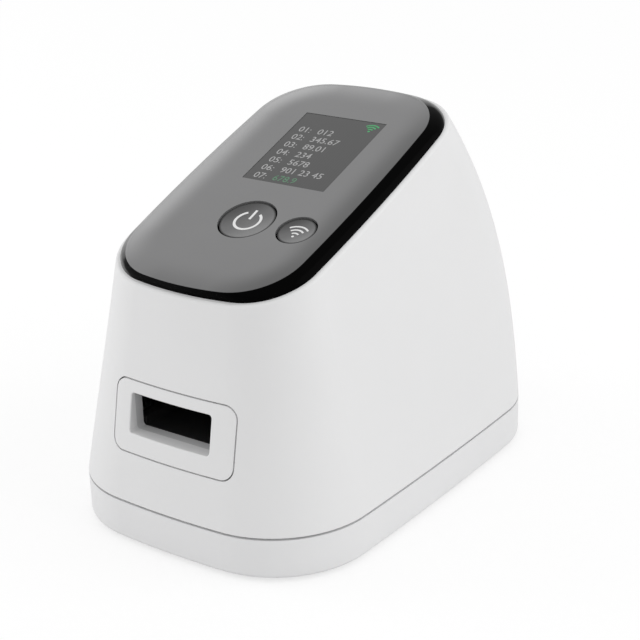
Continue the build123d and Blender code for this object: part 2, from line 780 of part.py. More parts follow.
# Two steel guide rods along the travel
with BuildPart() as guide_rods:
    for side in (-1, 1):
        with Locations((side * rod_spacing / 2, (chassis_front + chassis_rear) / 2, rod_z)):
            Cylinder(rod_radius, chassis_length - screw_clearance, rotation=(90, 0, 0))
    chamfer(guide_rods.edges().filter_by(GeomType.CIRCLE), rod_radius / 5)
guide_rods.part.label = "guide_rods"
export_step(guide_rods.part, "parts/guide_rods.step")

# Card carriage: a floor with a channel for the test card and bearings round the rods
with BuildPart() as card_carriage:
    middle_y = (carriage_front_y + carriage_rear_y) / 2
    with Locations((0, middle_y, carriage_bottom)):
        Box(carriage_width, carriage_length, carriage_floor, align=low)
    channel_outer = channel_width + 2 * channel_wall
    with Locations((slot_x, middle_y, carriage_top)):
        Box(channel_outer, carriage_length, channel_wall_height, align=low)
    with Locations((slot_x, middle_y - channel_end_wall / 2, carriage_top)):
        Box(channel_width, carriage_length - channel_end_wall, 2 * channel_wall_height,
            align=low, mode=Mode.SUBTRACT)
    for y in (carriage_front_y + bearing_inset, carriage_rear_y - bearing_inset):
        for side in (-1, 1):
            with Locations((side * rod_spacing / 2, y, carriage_bottom)):
                Box(bearing_width, bearing_length, rod_drop + bearing_below_rod, align=high)
    with Locations((-carriage_width / 2 + 2 * flag_thickness, flag_y, carriage_bottom)):
        Box(flag_thickness, flag_length, flag_height, align=high)
    for side in (-1, 1):
        with Locations((side * rod_spacing / 2, middle_y, rod_z)):
            Cylinder(rod_radius + rod_fit, 2 * carriage_length, rotation=(90, 0, 0),
                     mode=Mode.SUBTRACT)
card_carriage.part.label = "card_carriage"
export_step(card_carriage.part, "parts/card_carriage.step")

# Rack under the right edge of the carriage, with a tooth right above the pinion
with BuildPart() as drive_rack:
    rack_front_y = carriage_front_y + rack_margin
    rack_length = carriage_length - 2 * rack_margin
    with Locations((rack_x, rack_front_y + rack_length / 2, carriage_bottom)):
        Box(rack_width, rack_length, rack_body, align=high)
    flank = tan(radians(pressure_angle))
    tooth_root = tooth_pitch / 4 + dedendum_factor * gear_module * flank - gear_backlash / 4
    tooth_tip = tooth_pitch / 4 - gear_module * flank - gear_backlash / 4
    first = int((rack_front_y - pinion_y) / tooth_pitch) + 1
    last = int((rack_front_y + rack_length - pinion_y) / tooth_pitch) - 1
    with BuildSketch(Plane.YZ.offset(rack_x - rack_width / 2)):
        for tooth in range(first, last + 1):
            with BuildLine():
                y = pinion_y + tooth * tooth_pitch
                Polyline((y - tooth_root, rack_root_z), (y - tooth_tip, rack_pitch_z - gear_module),
                         (y + tooth_tip, rack_pitch_z - gear_module),
                         (y + tooth_root, rack_root_z), close=True)
            make_face()
    extrude(amount=rack_width)
drive_rack.part.label = "drive_rack"
export_step(drive_rack.part, "parts/drive_rack.step")


def involute_point(radius, base, half_tooth, side):
    """A point of a tooth flank at a radius, for a tooth that points along +X."""
    roll = sqrt((radius / base) ** 2 - 1)
    angle = side * (half_tooth - (roll - acos(base / radius)))
    return (radius * cos(angle), radius * sin(angle))


# Pinion on the motor shaft, with a tooth space right under the rack tooth
base_radius = pitch_radius * cos(radians(pressure_angle))
pitch_roll = tan(radians(pressure_angle)) - radians(pressure_angle)
half_tooth = (tooth_pitch / 2 - gear_backlash / 2) / (2 * pitch_radius) + pitch_roll
flank_start = max(base_radius, root_radius)
tooth_start = root_radius - tooth_overlap
flank_radii = [between(flank_start, tip_radius, step / 3) for step in range(4)]
lower = [involute_point(radius, base_radius, half_tooth, -1) for radius in flank_radii]
upper = [involute_point(radius, base_radius, half_tooth, 1) for radius in flank_radii]
with BuildSketch() as tooth_form:
    with BuildLine():
        Line((tooth_start, lower[0][1]), lower[0])
        Spline(*lower)
        Line(lower[-1], upper[-1])
        Spline(*reversed(upper))
        Line(upper[0], (tooth_start, upper[0][1]))
        Line((tooth_start, upper[0][1]), (tooth_start, lower[0][1]))
    make_face()
with BuildPart() as drive_pinion:
    pinion_plane = Plane(origin=(rack_x - pinion_width / 2, pinion_y, pinion_z),
                         x_dir=(0, 0, 1), z_dir=(1, 0, 0))
    with BuildSketch(pinion_plane):
        Circle(root_radius)
        with PolarLocations(0, pinion_teeth, start_angle=180 / pinion_teeth):
            add(tooth_form.sketch)
    extrude(amount=pinion_width)
    with Locations(pinion_plane):
        Cylinder(hub_radius, hub_length, align=high)
        Cylinder(shaft_radius + shaft_fit, 4 * pinion_width, mode=Mode.SUBTRACT)
drive_pinion.part.label = "drive_pinion"
export_step(drive_pinion.part, "parts/drive_pinion.step")

# Stepper motor, its shaft and the bent bracket that carries it
with BuildPart() as motor_shaft:
    shaft_start = rack_x - pinion_width / 2 - hub_length
    shaft_end = bracket_x + bracket_thickness + motor_length / 2
    with Locations(Plane(origin=(shaft_start, pinion_y, pinion_z), z_dir=(1, 0, 0))):
        Cylinder(shaft_radius, shaft_end - shaft_start, align=low)
motor_shaft.part.label = "motor_shaft"
export_step(motor_shaft.part, "parts/motor_shaft.step")

with BuildPart() as stepper_motor:
    with Locations(Plane(origin=(motor_face_x, pinion_y, pinion_z), z_dir=(1, 0, 0))):
        Cylinder(motor_radius, motor_length, align=low)
        Cylinder(motor_boss_radius, motor_boss_length, align=high)
        Cylinder(shaft_radius + rod_fit, motor_length, mode=Mode.SUBTRACT)
    chamfer(stepper_motor.faces().sort_by(Axis.X)[-1].outer_wire().edges(), motor_boss_length)
    with Locations((motor_face_x, pinion_y, pinion_z)):
        Box(motor_ear_thickness, motor_screw_spacing + 2 * motor_ear, 2 * motor_ear,
            align=(Align.MIN, Align.CENTER, Align.CENTER))
    motor_screw_planes = [Plane(origin=(motor_face_x + motor_ear_thickness,
                                        pinion_y + side * motor_screw_spacing / 2, pinion_z),
                                z_dir=(1, 0, 0)) for side in (-1, 1)]
    with Locations(Plane(origin=(motor_face_x, pinion_y, pinion_z), z_dir=(1, 0, 0))):
        Cylinder(shaft_radius + rod_fit, motor_length, mode=Mode.SUBTRACT)
    with Locations(*motor_screw_planes):
        Cylinder(small_shank + screw_clearance, 4 * motor_ear_thickness, mode=Mode.SUBTRACT)
stepper_motor.part.label = "stepper_motor"
export_step(stepper_motor.part, "parts/stepper_motor.step")

with BuildPart() as motor_bracket:
    bracket_top = pinion_z + motor_ear + bracket_thickness
    with Locations((bracket_x, pinion_y, chassis_top)):
        Box(bracket_thickness, bracket_width, bracket_top - chassis_top,
            align=(Align.MIN, Align.CENTER, Align.MIN))
    with Locations((bracket_x + bracket_thickness / 2, pinion_y, pinion_z)):
        Box(bracket_thickness, motor_screw_spacing + 2 * motor_ear, 2 * motor_ear)
    with Locations((bracket_x + bracket_thickness, pinion_y, chassis_top)):
        Box(bracket_foot + bracket_thickness, bracket_width, bracket_thickness,
            align=(Align.MAX, Align.CENTER, Align.MIN))
    with Locations(Plane(origin=(bracket_x, pinion_y, pinion_z), z_dir=(1, 0, 0))):
        Cylinder(motor_boss_radius + screw_clearance, 4 * bracket_thickness, mode=Mode.SUBTRACT)
    with Locations(*motor_screw_planes):
        Cylinder(small_shank + screw_clearance, 8 * bracket_thickness, mode=Mode.SUBTRACT)
    with Locations(*[(x, y, chassis_top) for x, y in bracket_points]):
        Cylinder(small_shank + through_clearance, 4 * bracket_thickness, mode=Mode.SUBTRACT)
motor_bracket.part.label = "motor_bracket"
export_step(motor_bracket.part, "parts/motor_bracket.step")

motor_screws = screws(motor_screw_planes, small_shank, small_head, small_head_height,
                      motor_ear_thickness + bracket_thickness)
motor_screws.part.label = "motor_screws"
export_step(motor_screws.part, "parts/motor_screws.step")

bracket_screws = screws([Plane(origin=(x, y, chassis_top + bracket_thickness))
                         for x, y in bracket_points],
                        small_shank, small_head, small_head_height,
                        bracket_thickness + chassis_thickness - screw_clearance)
bracket_screws.part.label = "bracket_screws"
export_step(bracket_screws.part, "parts/bracket_screws.step")

# Slotted light sensor that finds the carriage's front position
with BuildPart() as home_sensor:
    sensor_height = carriage_bottom - sensor_seat_top - home_sensor_gap
    with Locations((sensor_x, flag_y, sensor_seat_top)):
        Box(home_sensor_width, home_sensor_length, sensor_height, align=low)
    with Locations((sensor_x, flag_y, sensor_seat_top + home_sensor_wall)):
        Box(home_sensor_slot, home_sensor_length, sensor_height, align=low, mode=Mode.SUBTRACT)
home_sensor.part.label = "home_sensor"
export_step(home_sensor.part, "parts/home_sensor.step")

# Bridge over the carriage with four legs on the chassis
with BuildPart() as optics_bridge:
    bridge_length = bridge_rear - bridge_front + 2 * post_radius
    bridge_middle = (bridge_front + bridge_rear) / 2
    with BuildSketch(Plane.XY.offset(bridge_bottom)):
        with Locations((0, bridge_middle)):
            RectangleRounded(2 * bridge_leg_x + 2 * post_radius, bridge_length, bridge_corner)
    extrude(amount=bridge_thickness)
    with Locations(*[(x, y, chassis_top) for x, y in bridge_points]):
        Cylinder(post_radius, bridge_bottom - chassis_top, align=low)
        Cylinder(small_shank + screw_clearance, 3 * chassis_thickness, align=low,
                 mode=Mode.SUBTRACT)
    with Locations((slot_x, read_y, bridge_bottom)):
        Box(2 * optics_bore, 2 * optics_bore, 4 * bridge_thickness, mode=Mode.SUBTRACT)
    optics_screw_points = [(side * (optics_width / 2 - optics_screw_inset),
                            optics_front + optics_screw_inset) for side in (-1, 1)]
    with Locations(*[(x, y, bridge_bottom) for x, y in optics_screw_points]):
        Cylinder(small_shank + through_clearance, 4 * bridge_thickness, mode=Mode.SUBTRACT)
optics_bridge.part.label = "optics_bridge"
export_step(optics_bridge.part, "parts/optics_bridge.step")

bridge_screws = screws([Plane(origin=(x, y, chassis_bottom), z_dir=(0, 0, -1))
                        for x, y in bridge_points],
                       small_shank, small_head, small_head_height, 3 * chassis_thickness)
bridge_screws.part.label = "bridge_screws"
export_step(bridge_screws.part, "parts/bridge_screws.step")

# Housing of the reading head: an upright bore for the detector, a slanted one for the light
with BuildPart() as optics_housing:
    optics_middle = (optics_rear + optics_front) / 2
    with Locations((0, optics_middle, bridge_top)):
        Box(optics_width, optics_length, optics_height, align=low)
    chamfer(optics_housing.edges().filter_by(Axis.Z), lens_disc_thickness)
    with Locations((slot_x, read_y, bridge_top)):
        Cylinder(detector_bore, 4 * optics_height, mode=Mode.SUBTRACT)
    with Locations((slot_x, read_y, bridge_top)):
        Cylinder(optics_bore, lens_disc_thickness + filter_thickness, align=low,
                 mode=Mode.SUBTRACT)
    with Locations((slot_x, read_y, optics_top)):
        Cylinder(diode_radius + through_clearance, diode_height + through_clearance, align=high,
                 mode=Mode.SUBTRACT)
    led_slope = radians(led_angle)
    read_point = (slot_x, read_y, carriage_top)
    led_plane = Plane(origin=read_point, x_dir=(1, 0, 0),
                      z_dir=(0, sin(led_slope), cos(led_slope)))
    with Locations(led_plane):
        Cylinder(led_radius + optics_fit, 4 * optics_height, align=low, mode=Mode.SUBTRACT)
    with Locations(*[(x, y, bridge_top) for x, y in optics_screw_points]):
        Cylinder(small_shank + screw_clearance, 4 * optics_height, mode=Mode.SUBTRACT)
optics_housing.part.label = "optics_housing"
export_step(optics_housing.part, "parts/optics_housing.step")

optics_screws = screws([Plane(origin=(x, y, bridge_bottom), z_dir=(0, 0, -1))
                        for x, y in optics_screw_points],
                       small_shank, small_head, small_head_height,
                       bridge_thickness + optics_screw_grip)
optics_screws.part.label = "optics_screws"
export_step(optics_screws.part, "parts/optics_screws.step")

with BuildPart() as excitation_led:
    with Locations(led_plane.offset(led_distance)):
        Sphere(led_radius, mode=Mode.ADD)
        Cylinder(led_radius, led_length, align=low)
excitation_led.part.label = "excitation_led"
export_step(excitation_led.part, "parts/excitation_led.step")

with BuildPart() as objective_lens:
    with Locations((slot_x, read_y, bridge_top)):
        Cylinder(optics_bore - optics_fit, lens_disc_thickness, align=low)
    chamfer(objective_lens.edges().group_by(Axis.Z)[0], lens_disc_thickness / 4)
objective_lens.part.label = "objective_lens"
export_step(objective_lens.part, "parts/objective_lens.step")

with BuildPart() as emission_filter:
    with Locations((slot_x, read_y, bridge_top + lens_disc_thickness)):
        Cylinder(optics_bore - optics_fit, filter_thickness, align=low)
emission_filter.part.label = "emission_filter"
export_step(emission_filter.part, "parts/emission_filter.step")

# Detector board on top of the housing, with the photodiode reaching into the bore
with BuildPart() as sensor_board:
    with Locations((0, optics_middle, optics_top)):
        Box(optics_width - 2 * sensor_board_inset, optics_length - 2 * sensor_board_inset,
            board_thickness, align=low)
    sensor_screw_planes = [Plane(origin=(x, y, optics_top + board_thickness))
                           for x, y in optics_screw_points]
    with Locations(*sensor_screw_planes):
        Cylinder(small_shank + through_clearance, 4 * board_thickness, mode=Mode.SUBTRACT)
sensor_board.part.label = "sensor_board"
export_step(sensor_board.part, "parts/sensor_board.step")

with BuildPart() as photodiode:
    with Locations((slot_x, read_y, optics_top)):
        Cylinder(diode_radius, diode_height, align=high)
photodiode.part.label = "photodiode"
export_step(photodiode.part, "parts/photodiode.step")

sensor_screws = screws(sensor_screw_planes, small_shank, small_head, small_head_height,
                       board_thickness + sensor_screw_grip)
sensor_screws.part.label = "sensor_screws"
export_step(sensor_screws.part, "parts/sensor_screws.step")

# Main board at the back, on four hexagonal spacers
with BuildPart() as board_spacers:
    with BuildSketch(Plane.XY.offset(floor_top)):
        with Locations(*standoff_points):
            RegularPolygon(standoff_size / 2, 6)
    extrude(amount=standoff_height)
    with Locations(*[(x, y, main_board_bottom) for x, y in standoff_points]):
        Cylinder(small_shank + screw_clearance, standoff_hole_depth, align=high,
                 mode=Mode.SUBTRACT)
board_spacers.part.label = "board_spacers"
export_step(board_spacers.part, "parts/board_spacers.step")

with BuildPart() as main_board:
    with BuildSketch(Plane.XY.offset(main_board_bottom)):
        with Locations((0, (main_board_front + main_board_rear) / 2)):
            RectangleRounded(main_board_width, main_board_rear - main_board_front,
                             standoff_size / 2)
    extrude(amount=board_thickness)
    with Locations(*[(x, y, main_board_bottom) for x, y in standoff_points]):
        Cylinder(small_shank + through_clearance, 4 * board_thickness, mode=Mode.SUBTRACT)
main_board.part.label = "main_board"
export_step(main_board.part, "parts/main_board.step")

board_screws = screws([Plane(origin=(x, y, main_board_top)) for x, y in standoff_points],
                      small_shank, small_head, small_head_height,
                      board_thickness + standoff_screw_grip)
board_screws.part.label = "board_screws"
export_step(board_screws.part, "parts/board_screws.step")

with BuildPart() as board_chips:
    with Locations((processor_x, processor_y, main_board_top)):
        Box(processor_size, processor_size, processor_height, align=low)
    with Locations((memory_x, processor_y, main_board_top)):
        Box(memory_width, memory_length, memory_height, align=low)
board_chips.part.label = "board_chips"
export_step(board_chips.part, "parts/board_chips.step")

with BuildPart() as wireless_module:
    with Locations((radio_x, radio_y, main_board_top)):
        Box(radio_width, radio_length, board_thickness / 2, align=low)
    with Locations((radio_x, radio_y - radio_antenna / 2, main_board_top + board_thickness / 2)):
        Box(radio_width - 2 * radio_shield_inset,
            radio_length - radio_antenna - 2 * radio_shield_inset, board_thickness, align=low)
wireless_module.part.label = "wireless_module"
export_step(wireless_module.part, "parts/wireless_module.step")

with BuildPart() as buzzer:
    with Locations((buzzer_x, buzzer_y, main_board_top)):
        Cylinder(buzzer_radius, buzzer_height, align=low)
        Cylinder(buzzer_radius / 4, 4 * buzzer_height, mode=Mode.SUBTRACT)
buzzer.part.label = "buzzer"
export_step(buzzer.part, "parts/buzzer.step")

# Sockets at the back edge of the main board, just inside the holes of the shell
with BuildPart() as usb_socket:
    usb_plane = Plane(origin=(usb_x, socket_face_y, main_board_top + usb_height / 2),
                      x_dir=(-1, 0, 0), z_dir=(0, 1, 0))
    with BuildSketch(usb_plane):
        Rectangle(usb_width, usb_height)
    extrude(amount=-usb_depth)
    with BuildSketch(usb_plane):
        Rectangle(usb_mouth_width, usb_mouth_height)
        Rectangle(usb_tongue_width, usb_tongue_height, mode=Mode.SUBTRACT)
    extrude(amount=-usb_mouth_depth, mode=Mode.SUBTRACT)
usb_socket.part.label = "usb_socket"
export_step(usb_socket.part, "parts/usb_socket.step")

with BuildPart() as power_inlet:
    jack_plane = Plane(origin=(jack_x, socket_face_y, main_board_top + jack_height / 2),
                       x_dir=(-1, 0, 0), z_dir=(0, 1, 0))
    with BuildSketch(jack_plane):
        Rectangle(jack_width, jack_height)
    extrude(amount=-jack_depth)
    with BuildSketch(jack_plane):
        Circle(jack_bore)
        Circle(jack_pin_radius, mode=Mode.SUBTRACT)
    extrude(amount=-jack_bore_depth, mode=Mode.SUBTRACT)
power_inlet.part.label = "power_inlet"
export_step(power_inlet.part, "parts/power_inlet.step")

# Battery between its rails, on a foam pad
with BuildPart() as battery_pad:
    with Locations((0, battery_y, floor_top)):
        Box(battery_width, battery_length, battery_pad_thickness, align=low)
battery_pad.part.label = "battery_pad"
export_step(battery_pad.part, "parts/battery_pad.step")

with BuildPart() as battery_pack:
    with Locations((0, battery_y, floor_top + battery_pad_thickness)):
        Box(battery_width, battery_length, battery_thickness, align=low)
    fillet(battery_pack.edges().filter_by(Axis.Y), battery_thickness / 4)
battery_pack.part.label = "battery_pack"
export_step(battery_pack.part, "parts/battery_pack.step")

# Sockets of the two flat cables, then the cables themselves
panel_socket_height = panel_board_bottom - flex_socket_height
sensor_socket_y = optics_rear - sensor_board_inset - flex_socket_depth
with BuildPart() as flex_sockets:
    with Locations(panel_plane(panel_board_bottom, display_flex_x, panel_socket_v)):
        Box(display_flex_width + 2 * flex_socket_side, flex_socket_depth, flex_socket_height,
            align=high)
    with Locations((sensor_flex_x, sensor_socket_y, optics_top + board_thickness)):
        Box(sensor_flex_width + 2 * flex_socket_side, flex_socket_depth, flex_socket_height,
            align=low)
    for x, width in ((display_flex_x, display_flex_width), (sensor_flex_x, sensor_flex_width)):
        with Locations((x, board_socket_y, main_board_top)):
            Box(width + 2 * flex_socket_side, flex_socket_depth, flex_socket_height, align=low)
flex_sockets.part.label = "flex_sockets"
export_step(flex_sockets.part, "parts/flex_sockets.step")


def flat_cable(x, width, points):
    """A flat cable of an even width whose middle line runs through points in the YZ plane."""
    with BuildPart() as cable:
        with BuildSketch(Plane.YZ.offset(x - width / 2)):
            with BuildLine() as route:
                FilletPolyline(*points, radius=flex_bend)
            trace(route.line, flex_thickness)
        extrude(amount=width)
    return cable


cable_start = panel_plane(panel_socket_height + flex_socket_height / 2,
                          v=panel_socket_v + flex_socket_depth / 2 + flex_thickness / 2).origin
cable_fall_z = cable_start.Z + (display_fall_y - cable_start.Y) * tan(tilt)
socket_top = main_board_top + flex_socket_height + flex_thickness / 2
display_cable = flat_cable(display_flex_x, display_flex_width, [
    (cable_start.Y, cable_start.Z), (display_fall_y, cable_fall_z),
    (display_fall_y, cable_bend_z + board_socket_y - display_fall_y),
    (board_socket_y, cable_bend_z), (board_socket_y, socket_top)])
display_cable.part.label = "display_cable"
export_step(display_cable.part, "parts/display_cable.step")

sensor_cable_z = optics_top + board_thickness + flex_socket_height / 2
sensor_cable = flat_cable(sensor_flex_x, sensor_flex_width, [
    (sensor_socket_y + flex_socket_depth / 2 + flex_thickness / 2, sensor_cable_z),
    (sensor_fall_y, sensor_cable_z),
    (sensor_fall_y, cable_bend_z + board_socket_y - sensor_fall_y),
    (board_socket_y, cable_bend_z), (board_socket_y, socket_top)])
sensor_cable.part.label = "sensor_cable"
export_step(sensor_cable.part, "parts/sensor_cable.step")
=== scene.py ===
import bmesh
import bpy
from math import cos, pi, radians, sin
from mathutils import Matrix, Vector
from mathutils.bvhtree import BVHTree


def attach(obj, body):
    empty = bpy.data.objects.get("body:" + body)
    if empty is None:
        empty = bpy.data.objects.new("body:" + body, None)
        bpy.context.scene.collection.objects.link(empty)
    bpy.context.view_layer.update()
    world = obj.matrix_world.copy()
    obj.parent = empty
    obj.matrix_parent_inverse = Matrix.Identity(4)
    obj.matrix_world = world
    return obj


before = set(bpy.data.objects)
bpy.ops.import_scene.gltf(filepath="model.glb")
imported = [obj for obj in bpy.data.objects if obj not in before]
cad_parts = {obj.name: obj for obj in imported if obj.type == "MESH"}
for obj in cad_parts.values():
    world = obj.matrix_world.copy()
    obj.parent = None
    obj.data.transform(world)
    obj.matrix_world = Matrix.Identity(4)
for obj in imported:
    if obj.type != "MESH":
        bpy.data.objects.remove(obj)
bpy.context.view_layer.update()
mm = 0.001

# The sloping panel: u to the right, v up the slope from its front edge, w off its surface.
# Places and sizes on it are in mm
PANEL_TILT = radians(20.0)
PANEL_FRONT = Vector((0, -64.8, 85.0))
RIGHT = Vector((1, 0, 0))
ALONG = Vector((0, cos(PANEL_TILT), sin(PANEL_TILT)))
NORMAL = Vector((0, -sin(PANEL_TILT), cos(PANEL_TILT)))

# The lens, its border that rolls off, and its painted light and shade: greys from its dark side to
# its light side
LENS_HALF_WIDTH = 33.0
LENS_MIDDLE = 56.3
LENS_HALF_LENGTH = 55.8
LENS_CORNER = 23.0
ROLL_START = LENS_CORNER - 12.0
ROLL_END = LENS_CORNER + 1.5
LENS_ROLL = 0.22
LENS_SHADE_TONES = ((0.0, 0.096), (0.5, 0.176), (1.0, 0.36))
LENS_LIGHT_SIDE = (-0.90, 0.44, 0)

# The bezel round the lens. Its gloss goes from one value to the other as the view gets lower
BEZEL_HEIGHT = 3.5
LIP_START = BEZEL_HEIGHT - 0.12
LIP_END = BEZEL_HEIGHT - 0.06
LIP_GLOSS = 0.6
LOW_VIEW_START = 0.62
LOW_VIEW_END = 0.86
SQUARE_GLOSS = 0.015
LOW_VIEW_GLOSS = 0.9
BEZEL_BLACK = (0.0008, 0.0008, 0.0008)
BEZEL_SOFT_BLACK = (0.0014, 0.0014, 0.0014)

# The band of lens that laps over the bezel's lip: from where to where outside the lens's
# outline, and how far over and under the lip's height
LAP_INNER = -0.15
LAP_OUTER = 0.47
LAP_REACH = 0.012

# The keys. Their painted shade: greys darker to the rear left, and a black border for the gap's
# shade that starts, and is full, this far in from the rim
POWER_KEY = (1.6, 34.8)
POWER_RADIUS = 9.3
WIRELESS_KEY = (21.2, 34.3)
WIRELESS_RADIUS = 6.3
KEY_DISH = 0.16
KEY_SHADE_TONES = ((0.0, 0.046), (0.5, 0.112), (1.0, 0.185))
KEY_LIGHT_SIDE = (0.75, -0.66, 0)
KEY_RIM_SHADE = (0.012, 0.012, 0.012)
KEY_RIM_SHADE_START = 0.75
KEY_RIM_SHADE_END = 0.35

# The power symbol: its ring, half the ring's gap in degrees, and its bar
RING_INNER = 3.95
RING_OUTER = 4.85
RING_GAP = 32
POWER_BAR_WIDTH = 0.9
POWER_BAR_LENGTH = 4.6
POWER_BAR_OFFSET = 3.2

# The wireless marks: shares of their height, then half an arc's angle in degrees, then sizes
MARK_FOOT = 0.45
ARC_START = 0.02
ARC_PITCH = 0.29
ARC_SPREAD = 44
MARK_STROKE = 0.6
KEY_MARK_HEIGHT = 5.6
GREEN_MARK_HEIGHT = 4.0
GREEN_MARK_INSET = 4.1
GREEN_MARK_DROP = 3.3

# How far ink and lit marks reach over and under the surface that they lie on
INK_REACH = 0.05
LIT_REACH = 0.03

# The screen and its rows of figures, counted from its rear left corner
SCREEN_U = 2.0
SCREEN_V = 73.9
SCREEN_WIDTH = 32.5
SCREEN_LENGTH = 39.3
ROW_TEXT = ("012", "345.67", "89.01", "234", "5678", "901 23 45", "678.9")
FONT_SIZE = 4.14
FIRST_ROW = 10.7
ROW_PITCH = 4.53
LABEL_INSET = 3.0
FIGURE_INSET = 10.7

# Floor, room and camera, in metres, and the camera's lens in mm. The floor's own light goes
# from its near strength and share to the room's white between the two distances
FLOOR_RADIUS = 6.0
FLOOR_TONE = (0.9, 0.9, 0.9, 1)
FADE_START = 0.5
FADE_END = 2.5
NEAR_SHARE = 0.6
NEAR_STRENGTH = 1.12
ROOM_LIGHT = 0.77
LAMP_TARGET = (0, 0, 0.05)
CAMERA_PLACE = (0.2993, -0.4054, 0.2542)
CAMERA_AZIMUTH = radians(36.02)
CAMERA_ELEVATION = radians(21.64)
CAMERA_ROLL = radians(-1.7)
CAMERA_LENS = 89.3

# Rays that look for a surface start this far off the panel. Corners this near are one, and a
# face is on top where its normal follows the panel's by this much
RAY_START = 12.0
SAME_PLACE = 0.001
ON_TOP = 0.99

# The values that most of a noise lies between, and a grey's blue as a share of its red
NOISE_MIDDLE = (0.3, 0.7)
COOL = 1.01
WHITE = (1, 1, 1, 1)
UNSTRETCHED = (1, 1, 1)


def panel_point(u, v, w=0.0):
    """A point of the panel's own frame, given in mm, as a place in metres."""
    return (PANEL_FRONT + RIGHT * u + ALONG * v + NORMAL * w) * mm


# Shader helpers

class Tree:
    """A node tree and short ways to add to it. A value is a plain one or a node's socket."""

    def __init__(self, owner):
        owner.use_nodes = True
        self.nodes, self.links = owner.node_tree.nodes, owner.node_tree.links

    def feed(self, socket, value):
        """Links a socket to another node's, or sets a plain value on it."""
        if isinstance(value, bpy.types.NodeSocket):
            self.links.new(value, socket)
        else:
            socket.default_value = value

    def add(self, kind, inputs):
        """A new node, with its inputs by name or by number."""
        node = self.nodes.new(kind)
        for name, value in inputs.items():
            self.feed(node.inputs[name], value)
        return node

    def math(self, operation, *values):
        """A Math node's result."""
        node = self.add("ShaderNodeMath", dict(enumerate(values)))
        node.operation = operation
        return node.outputs["Value"]

    def vector(self, operation, *values):
        """A Vector Math node's result: a vector, or a number where the operation gives one."""
        node = self.add("ShaderNodeVectorMath", dict(enumerate(values)))
        node.operation = operation
        return node.outputs["Value" if operation in ("DOT_PRODUCT", "LENGTH") else "Vector"]

    def coordinates(self, stretch=UNSTRETCHED):
        """Object coordinates, which stay with the piece when it moves."""
        place = self.nodes.new("ShaderNodeTexCoord").outputs["Object"]
        return self.add("ShaderNodeMapping", {"Vector": place, "Scale": stretch}).outputs["Vector"]

    def in_range(self, value, start, end, low=0.0, high=1.0, curve="SMOOTHSTEP"):
        """Maps a value between start and end to the range from low to high."""
        node = self.add("ShaderNodeMapRange", {"Value": value, "From Min": start, "From Max": end,
                                               "To Min": low, "To Max": high})
        node.interpolation_type = curve
        return node.outputs["Result"]

    def spread(self, noise, low, high):
        """Spreads the middle of a noise over the range from low to high."""
        return self.in_range(noise, *NOISE_MIDDLE, low, high, "LINEAR")


class Look(Tree):
    """A material in the making. Its patterns follow the piece, in object coordinates."""

    def __init__(self, name, stretch=UNSTRETCHED):
        self.mat = bpy.data.materials.new(name)
        super().__init__(self.mat)
        self.at = self.coordinates(stretch)

    def surface(self, inputs):
        """Sets the shader's inputs and gives the material."""
        shader = self.nodes["Principled BSDF"]
        for name, value in inputs.items():
            self.feed(shader.inputs[name], value)
        return self.mat

    def noise(self, size, detail=3.0):
        """Noise whose grains are about size mm across."""
        return self.add("ShaderNodeTexNoise", {"Vector": self.at, "Scale": 1.0 / (size * mm),
                                               "Detail": detail, "Roughness": 0.55}).outputs["Fac"]

    def bands(self, direction, scale):
        """Waves across the piece, at a scale per mm."""
        tex = self.add("ShaderNodeTexWave", {"Vector": self.at, "Scale": scale / mm})
        tex.wave_type = "BANDS"
        tex.bands_direction = direction
        return tex.outputs["Fac"]

    def mixed(self, share, first, second):
        """Mixes two colours, each given as a colour or as a socket."""
        node = self.nodes.new("ShaderNodeMix")
        node.data_type = "RGBA"
        self.feed(node.inputs["Factor"], share)
        sockets = [s for s in node.inputs if s.type == "RGBA"]
        for socket, tone in zip(sockets, (first, second)):
            self.feed(socket, (*tone, 1) if isinstance(tone, tuple) else tone)
        return next(s for s in node.outputs if s.type == "RGBA")

    def greys(self, value, tones):
        """Greys along a value from 0 to 1, given as (place, grey) pairs from 0 to 1."""
        node = self.add("ShaderNodeValToRGB", {"Fac": value})
        ramp = node.color_ramp
        ramp.interpolation = "EASE"
        for place, _ in tones[1:-1]:
            ramp.elements.new(place)
        for element, (place, grey) in zip(ramp.elements, tones):
            element.position = place
            element.color = (grey, grey, grey * COOL, 1)
        return node.outputs["Color"]

    def bump(self, height, depth, strength):
        """A bump of depth mm from a height between 0 and 1."""
        return self.add("ShaderNodeBump", {"Height": height, "Distance": depth * mm,
                                           "Strength": strength}).outputs["Normal"]

    def orange_peel(self):
        """The faint waviness of a glossy moulding."""
        return self.bump(self.noise(6.0, 1.0), 0.001, 0.2)

    def on_panel(self):
        """The place in the panel's own frame: a vector of u, v and w in metres."""
        from_front = self.vector("SUBTRACT", self.at, PANEL_FRONT * mm)
        parts = [self.vector("DOT_PRODUCT", from_front, way) for way in (RIGHT, ALONG, NORMAL)]
        return self.add("ShaderNodeCombineXYZ", dict(zip("XYZ", parts))).outputs["Vector"]

    def off_middle(self, u, v):
        """The place on the panel from a middle given in mm, as a vector (u, v) in metres."""
        flat = self.vector("MULTIPLY", self.on_panel(), (1, 1, 0))
        return self.vector("SUBTRACT", flat, (u * mm, v * mm, 0))

    def leaning_normal(self, lean, strength):
        """The surface's normal, leaning along a vector (u, v) of the panel, with orange peel."""
        ways = ((1, 0, 0), (0, ALONG.y, 0), (0, ALONG.z, 0))
        parts = [self.vector("DOT_PRODUCT", lean, Vector(way) * strength) for way in ways]
        sideways = self.add("ShaderNodeCombineXYZ", dict(zip("XYZ", parts))).outputs["Vector"]
        upright = self.nodes.new("ShaderNodeNewGeometry").outputs["Normal"]
        peel = self.orange_peel()
        leaning = self.vector("NORMALIZE", self.vector("ADD", upright, sideways))
        self.feed(peel.node.inputs["Normal"], leaning)
        return peel


def shaded(colour, share):
    """A colour times a share, kept between 0 and 1."""
    return tuple(max(0.0, min(1.0, c * share)) for c in colour)


# Materials

